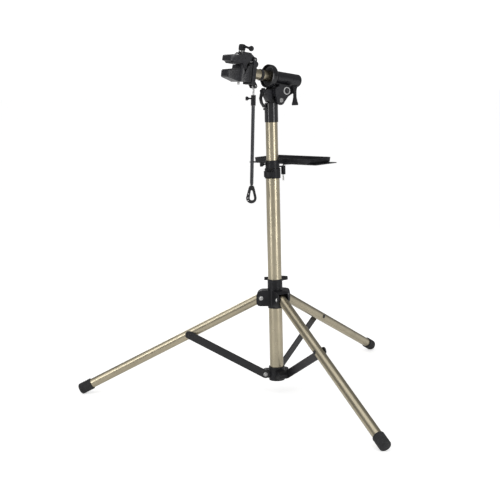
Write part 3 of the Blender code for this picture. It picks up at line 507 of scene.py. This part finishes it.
def make_leg(side):
    place = LEG[side]
    tube("leg_" + side, place, "X", LEG_TOP, LEG_END, LEG_RADIUS, LEG_WALL, "leg_" + side,
         "leg_tube_" + side)
    make_foot(side)
    piece("hub_rivet_" + side, rivet(0, -LUG_FACE, LUG_FACE), place, "hub", STEEL,
          ("leg_rivet_" + side,))
    knee = STRUT_PIVOT[side]
    piece("knee_rivet_" + side, rivet(knee, -LEG_RADIUS, STRUT_FACE), place, "leg_" + side,
          STRUT_PAINT, ("strut_rivet_" + side,))
    dress("strut_" + side, STRUT_PAINT, 0.9)
    out = out_from_mast(point("leg_fold_" + side))
    base = FOOT_OF_MAST + (out * BASE_PIVOT[0] + UP * BASE_PIVOT[1]) * MM
    across = direction("leg_fold_" + side)
    piece("base_rivet_" + side, rivet_head(0, STRUT_FACE), axes(base, out, across),
          "strut_" + side, STEEL)


# ---------------------------------------------------------------- tray

TRAY_NEAR = 37.0
TRAY_FAR = 147.0
TRAY_HALF = 105.5
TRAY_FLOOR = 685.0
DIVIDER_LINES = (-35.0, 35.0)
DIVIDER_SPANS = ((48.0, 87.0), (98.0, 137.0))


def tray_loop(inset, height, radius):
    return rounded_rectangle(TRAY_NEAR + inset, TRAY_FAR - inset, TRAY_HALF - inset,
                             max(radius - inset, 2.0), TRAY_FLOOR + height)


def make_tray():
    """Tapered pan with a stepped foot, a rolled lip and low dividers."""
    outside = [(8, 0.0), (4.0, 0.1), (2.6, 0.6), (2.1, 1.4), (1.2, 3.6), (0.8, 4.4), (0.6, 9.0),
               (0.4, 10.4), (0.0, 11.1), (-0.4, 11.8), (-0.5, 12.9), (-0.1, 13.7), (0.9, 14.0)]
    inside = [(2.2, 13.6), (2.9, 12.6), (3.2, 10.5), (4.0, 6.0), (5.0, 4.2), (7.0, 3.0), (11, 2.6)]
    loops = [tray_loop(inset, height, 13.0) for inset, height in outside + inside]
    piece("tool_tray", loft(loops), TRAY, "tray", TRAY_PLASTIC, ("tray_pan",), 40)
    bars = []
    for y in DIVIDER_LINES:
        for low, high in DIVIDER_SPANS:
            bar = bmesh.new()
            bmesh.ops.create_cube(bar, size=1.0)
            bar.transform(Matrix.Translation(((low + high) / 2, y, TRAY_FLOOR + 4.4))
                          @ Matrix.Diagonal((high - low, 2.2, 4.2, 1.0)))
            bmesh.ops.bevel(bar, geom=bar.edges[:], offset=0.8, segments=3, profile=0.5,
                            affect="EDGES")
            bars.append(bar)
    piece("tray_dividers", merge(*bars), TRAY, "tray", TRAY_PLASTIC)
    dress("tool_plate", STRUT_PAINT, 0.5, 2)
    dress("tray_pin", STEEL, 0.3, 2)
    screw = axes(point("tray_screw_turn"), direction("tray_screw_turn"), UP)
    make_knob("tray_knob", screw, 12.3, 7.0, "tray_thumbscrew", "tray_thumbscrew", 5.6)


def make_knob(name, place, length, radius, body, node, setback):
    """Fluted thumb knob with a neck and a plain stud, along X of its frame."""
    skirt = radius * 0.62
    profile = [(0, length), (radius * 0.7, length), (radius * 0.9, length - 0.5),
               (radius, length - 1.5), (radius, length - 3.5), (radius, length * 0.45),
               (radius * 0.92, length * 0.34), (skirt, length * 0.2), (skirt * 0.8, 0.0),
               (2.3, -0.4), (2.3, -setback + 0.4), (1.9, -setback), (0, -setback)]
    bm = revolve(profile, False, 72)
    flute(bm, 9, radius * 0.16, radius * 0.75, radius, length * 0.3, length - 0.8)
    bm.transform(Matrix.Rotation(math.pi / 2, 4, "Y"))
    piece(name, bm, place, body, PLASTIC, (node,))


# ---------------------------------------------------------------- head

BADGE_PLACE = (-38, 25.3, 895)


def make_head():
    dress("fork_sleeve", GLOSS, 0.8)
    dress("fold_pin", STEEL, 0.7)
    dress("head_casting", CASTING, 1.0)
    dress("lock_bolt", STEEL, 0.6)
    dress("head_bush", PLASTIC, 0.3)
    dress("latch_lever", PLASTIC, 0.9)
    dress("lock_lever", PLASTIC, 1.3)
    bell = [(33.5, 12.4), (33.5, 2.0), (33.1, -0.8), (31.8, -3.4), (29.2, -6.2), (25.6, -9.6),
            (22.6, -12.6), (21.2, -14.6), (20.4, -15.0), (18.8, -15.0), (18.8, 3.0), (28.2, 3.0),
            (29.4, 3.8), (30.1, 6.0), (30.6, 12.6), (31.2, 13.8), (32.2, 14.0), (33.1, 13.5)]
    piece("bell_collar", revolve(bell, True, 112, "X"), CLAMP, "head", GLOSS,
          ("bell_ring",))
    cap = [(0, -103.0), (9.0, -102.9), (13.0, -102.4), (15.6, -101.2), (17.4, -99.2),
           (18.3, -97.2), (18.5, -95.6), (18.3, -95.3), (0, -95.3)]
    piece("housing_cap", revolve(cap, False, 80, "X"), CLAMP, "head", PLASTIC,
          ("rear_cap",))
    badge = HEAD @ Matrix.Translation(Vector(BADGE_PLACE) * MM)
    ring = [(11.0, 0.0), (11.0, 1.5), (10.6, 2.1), (10.0, 2.2), (9.2, 2.2), (8.7, 1.9),
            (8.6, 1.2), (8.6, 0.0)]
    piece("badge_ring", revolve(ring, True, 64, "Y"), badge, "head", WHITE_MARK,
          ("head_badge",))
    disc = [(0, 1.3), (3.4, 1.35), (3.8, 1.6), (4.6, 1.6), (5.0, 1.2), (8.4, 1.1), (8.4, 0.0),
            (0, 0.0)]
    piece("badge_disc", revolve(disc, False, 64, "Y"), badge, "head", CASTING)


# ---------------------------------------------------------------- clamp

CRANK_AXIS = (108, 0, 0)
BALL_RADIUS = 7.6
BALL_STEP = 0.15


def make_clamp():
    arm = [(15.0, 65.3), (15.0, -89.6), (14.6, -90.0), (13.8, -90.0), (13.4, -89.6), (13.4, 65.3),
           (13.8, 65.7), (14.6, 65.7)]
    piece("arm_tube", revolve(arm, True, 96, "X"), CLAMP, "clamp", GOLD,
          ("clamp_tube",))
    band = [(15.3, 32.2), (16.0, 32.0), (16.5, 32.6), (16.5, 35.2), (16.1, 35.8), (16.1, 37.2),
            (16.5, 37.8), (16.5, 40.4), (16.0, 41.0), (15.3, 40.8)]
    piece("arm_band", revolve(band, True, 80, "X"), CLAMP, "clamp", RUBBER,
          ("tube_band",))
    dress("clamp_plate", CASTING, 0.8)
    dress("clamp_spacer", RUBBER, 0.8)
    dress("lower_jaw", CASTING, 1.0)
    dress("upper_jaw", CASTING, 1.2)
    dress("lower_pad", PAD_RUBBER, 0.5, 2)
    dress("upper_pad", PAD_RUBBER, 0.5, 2)
    dress("jaw_pin", STEEL, 0.4, 2)
    dress("rod_hinge_pin", STEEL, 0.4, 2)
    dress("thrust_washer", STEEL, 0.4, 2)
    dress("crank_screw", STEEL, 0.5, 2)
    make_jaw_studs()
    make_crank()
    dress("tension_knob", PLASTIC, 0.7)


def make_jaw_studs():
    """Cast grip on both flanks of the lower jaw: staggered domes on its body and its nose."""
    studs = []
    for sign in (-1, 1):
        for row in range(5):
            for column in range(13):
                s = 94 + column * 4.6 + (row % 2) * 2.3
                h = -23 + row * 4.4
                if s <= 112:
                    studs.append(stud(s, sign * 25.0, h, sign))
                elif 126 < s < 151 and (row or s < 138):
                    studs.append(stud(s, sign * (20.0 - 0.1 * (s - 124)), h, sign))
    piece("jaw_flank_studs", merge(*studs), CLAMP, "clamp", CASTING)


def stud(s, n, h, sign):
    dome = [(0, 0.9), (0.7, 0.8), (1.3, 0.45), (1.6, 0.0), (1.6, -0.2), (0, -0.2)]
    profile = [(radius, sign * rise) for radius, rise in dome]
    return revolve(profile, False, 12, "Y", (s, n, h))


def make_crank():
    """Scalloped hub, waisted arm and ball grip."""
    hub = [(0, 76.2), (4.0, 76.2), (4.6, 75.4), (6.8, 75.6), (8.6, 74.8), (9.8, 73.2),
           (10.0, 71.5), (10.0, 68.5), (10.0, 65.5), (10.0, 62.5), (9.6, 60.2), (8.5, 58.0),
           (3.9, 57.9), (3.9, 64.3), (0, 64.3)]
    knob = revolve(hub, False, 72)
    flute(knob, 8, 1.0, 8.0, 10.0, 60.0, 74.0)
    arm_end = centre("crank_ball")
    local = CLAMP.inverted() @ arm_end / MM
    foot = Vector(CRANK_AXIS)
    along = Vector((local.x - foot.x, local.y, 0)).normalized()
    reach = (Vector((local.x, local.y, 0)) - foot).length
    knob.transform(Matrix.Translation(foot))
    stations = (0.2, 69.2), (0.35, 68.6), (0.5, 67.4), (0.65, 66.0), (0.82, 64.6)
    path = [foot + along * (reach * share) + Vector((0, 0, height)) for share, height in stations]
    arm = sweep(path, [4.4, 3.7, 3.3, 3.3, 3.9], 24)
    piece("crank_grip", merge(knob, arm), CLAMP, "crank", PLASTIC,
          ("crank_handle",))
    ball = [(BALL_RADIUS * math.sin(a), BALL_RADIUS * math.cos(a))
            for a in (BALL_STEP * k for k in range(1, 21))]
    ball = [(0, BALL_RADIUS)] + ball + [(0, -BALL_RADIUS)]
    piece("crank_knob", revolve(ball, False, 48, "Z", local), CLAMP, "crank", PLASTIC,
          ("crank_ball",))


# ---------------------------------------------------------------- handlebar rod

def make_rod():
    dress("rod_shaft", DRAWN_STEEL, 0.4, 2)
    dress("rod_tube", DARK_TUBE, 0.5, 2)
    dress("rod_collar", PLASTIC, 0.8)
    dress("rod_strap", RUBBER, 0.8)
    screw = axes(point("rod_screw_turn"), direction("rod_screw_turn"), UP)
    screw = screw @ Matrix.Translation(Vector((12.2, 0, 0)) * MM)
    make_knob("rod_knob", screw, 10.2, 5.8, "rod_thumbscrew", "rod_thumbscrew", 8.6)


# ---------------------------------------------------------------- stage

FLOOR_HALF_WIDTH = 40.0
FLOOR_DROP = 0.0005
STAND_MIDDLE = (0.15, 0.0, 0.6)
CAMERA_PLACE = (0.3183, -3.1962, 0.960)
CAMERA_HEADING = 4.36
CAMERA_DOWN = 9.32
CAMERA_ROLL = -1.43
CAMERA_LENS = 79.5


def make_floor():
    bm = bmesh.new()
    bmesh.ops.create_grid(bm, x_segments=1, y_segments=1, size=FLOOR_HALF_WIDTH)
    mesh = bpy.data.meshes.new("floor")
    bm.to_mesh(mesh)
    bm.free()
    material, tree, shader = node_material("pale_floor")
    patches = spread(tree, noise(tree, 3.0, 2.0), 0.0, 1.0)
    tint = blend_colours(tree, patches, (0.84, 0.84, 0.84), (0.86, 0.86, 0.86))
    tree.links.new(tint, shader.inputs["Base Color"])
    shader.inputs["Roughness"].default_value = 0.9
    shader.inputs["Specular IOR Level"].default_value = 0.1
    shader.inputs["Emission Color"].default_value = (1.0, 1.0, 1.0, 1.0)
    tree.links.new(seen_directly(tree, 0.1, 0.62), shader.inputs["Emission Strength"])
    mesh.materials.append(material)
    floor = bpy.data.objects.new("floor", mesh)
    floor.location = (0, 0, -FLOOR_DROP)
    bpy.context.scene.collection.objects.link(floor)


def seen_directly(tree, otherwise, value):
    """The value on what the camera sees directly, and another on what only lights or reflects."""
    path = tree.nodes.new("ShaderNodeLightPath")
    return spread(tree, path.outputs["Is Camera Ray"], otherwise, value, 0.0, 1.0)


def make_world():
    """White where the camera sees it, and a dim grey room for light and reflections."""
    world = bpy.data.worlds.new("studio")
    bpy.context.scene.world = world
    world.use_nodes = True
    tree = world.node_tree
    background = tree.nodes["Background"]
    tree.links.new(seen_directly(tree, 0.2, 1.1), background.inputs["Strength"])
    background.inputs["Color"].default_value = (1.0, 1.0, 1.0, 1.0)


def aim(item, position, target):
    item.location = position
    item.rotation_euler = (Vector(target) - Vector(position)).to_track_quat("-Z", "Y").to_euler()


def make_light(name, kind, position, target, energy, size=(1.0, 1.0), angle=0.0):
    data = bpy.data.lights.new(name, kind)
    data.energy = energy
    if kind == "AREA":
        data.shape = "RECTANGLE"
        data.size, data.size_y = size
    else:
        data.angle = math.radians(angle)
    item = bpy.data.objects.new(name, data)
    bpy.context.scene.collection.objects.link(item)
    aim(item, position, target)
    item.visible_camera = False


def make_lights():
    make_light("overhead", "SUN", (-1.0, -1.5, 4.0), (0, 0, 0), 0.9, angle=70)
    make_light("left_box", "AREA", (-1.75, -1.75, 0.9), STAND_MIDDLE, 12, (0.5, 2.4))
    make_light("right_box", "AREA", (2.1, -1.7, 0.9), STAND_MIDDLE, 18, (0.6, 2.4))
    make_light("back_box", "AREA", (-0.9, 2.3, 1.5), STAND_MIDDLE, 12, (1.4, 1.4))


def make_camera():
    data = bpy.data.cameras.new("camera")
    data.lens = CAMERA_LENS
    data.sensor_width = 36.0
    data.clip_start, data.clip_end = 0.05, 200.0
    camera = bpy.data.objects.new("camera", data)
    turn = (Matrix.Rotation(math.radians(CAMERA_HEADING), 4, "Z")
            @ Matrix.Rotation(math.radians(90 - CAMERA_DOWN), 4, "X")
            @ Matrix.Rotation(math.radians(CAMERA_ROLL), 4, "Z"))
    camera.matrix_world = Matrix.Translation(CAMERA_PLACE) @ turn
    bpy.context.scene.collection.objects.link(camera)
    bpy.context.scene.camera = camera


make_mast()
for side in SIDES:
    make_leg(side)
make_tray()
make_head()
make_clamp()
make_rod()
make_floor()
make_world()
make_lights()
make_camera()
bpy.context.scene.view_settings.view_transform = "Standard"
